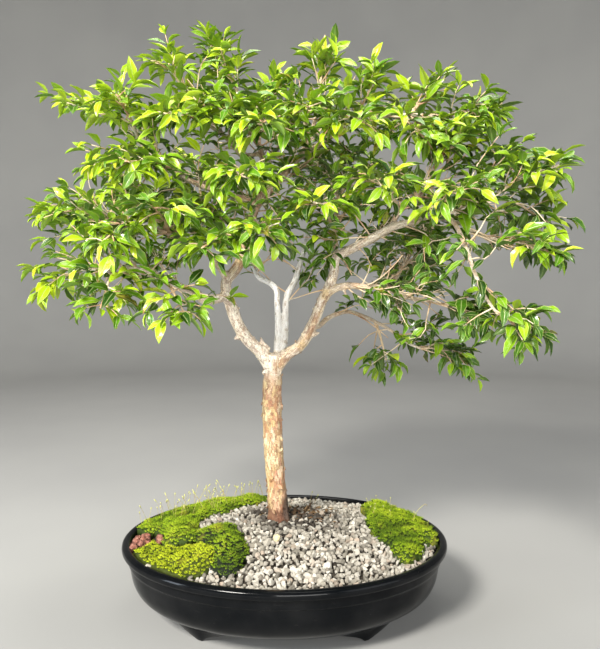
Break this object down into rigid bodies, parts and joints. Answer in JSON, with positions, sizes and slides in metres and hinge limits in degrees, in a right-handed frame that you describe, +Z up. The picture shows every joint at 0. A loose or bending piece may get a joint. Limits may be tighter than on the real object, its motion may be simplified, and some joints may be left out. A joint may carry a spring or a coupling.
{
  "type": "potted bonsai tree",
  "caption": "Small forked tree with flaking bark and a wide open crown of glossy leaves, in an oval black pot with gravel and moss.",
  "frame": {"origin": "on the floor under the middle of the pot and of the whole crown", "axes": "+Z up, +X to the right and -Y towards the viewer in the front view"},
  "size_m": [0.6062, 0.334, 0.6391],
  "materials": {
    "pot": "satin black moulded plastic with light scuffs",
    "screen": "black plastic mesh",
    "soil": "dark crumbly potting soil",
    "gravel": "angular pale grey pumice",
    "moss_mid": "dense living moss, mid green",
    "moss_light": "dense living moss, yellow green",
    "moss_dark": "dense living moss, dark green",
    "lava": "porous red-brown lava",
    "bark": "smooth flaking bark, cream, tan and ochre patches",
    "foliage": "glossy green leaves on thin tan twigs"
  },
  "bodies": {
    "root": {"pot": "pot", "drainage_screen_left": "screen", "drainage_screen_right": "screen", "soil": "soil", "pumice_gravel": "gravel", "moss_back_left": "moss_mid", "moss_front_left": "moss_light", "moss_dark_left": "moss_dark", "moss_right": "moss_mid", "lava_pebble_cluster": "lava", "lava_pebble_single": "lava", "trunk_and_limbs": "bark", "spray_crown_left": "foliage", "spray_crown_leader": "foliage", "spray_crown_left_back": "foliage", "spray_crown_middle": "foliage", "spray_crown_centre": "foliage", "spray_crown_right": "foliage", "spray_crown_right_far": "foliage", "spray_crown_right_tip": "foliage", "spray_upper_left_tip": "foliage", "spray_upper_left": "foliage", "spray_upper_left_middle": "foliage", "spray_upper_middle": "foliage", "spray_upper_front": "foliage", "spray_upper_front_right": "foliage", "spray_upper_right": "foliage", "spray_upper_right_middle": "foliage", "spray_upper_right_far": "foliage", "spray_side_left_back": "foliage", "spray_side_left": "foliage", "spray_side_left_tip": "foliage", "spray_low_left_front": "foliage", "spray_middle_left": "foliage", "spray_inner_left": "foliage", "spray_front_left": "foliage", "spray_front_upper": "foliage", "spray_front_centre": "foliage", "spray_low_left_tip": "foliage", "spray_low_left": "foliage", "spray_low_left_inner": "foliage", "spray_back_left": "foliage", "spray_back_left_middle": "foliage", "spray_back_centre": "foliage", "spray_back_right": "foliage", "spray_front_right": "foliage", "spray_front_right_middle": "foliage", "spray_inner_right": "foliage", "spray_back_right_far": "foliage", "spray_right_front": "foliage", "spray_right_upper": "foliage", "spray_right_tip_upper": "foliage", "spray_right_tip": "foliage", "spray_right_lower": "foliage", "spray_drop_tip": "foliage", "spray_drop_inner": "foliage", "spray_low_right_back": "foliage", "spray_low_right_tip": "foliage", "spray_low_right_front": "foliage"}
  },
  "joints": []
}
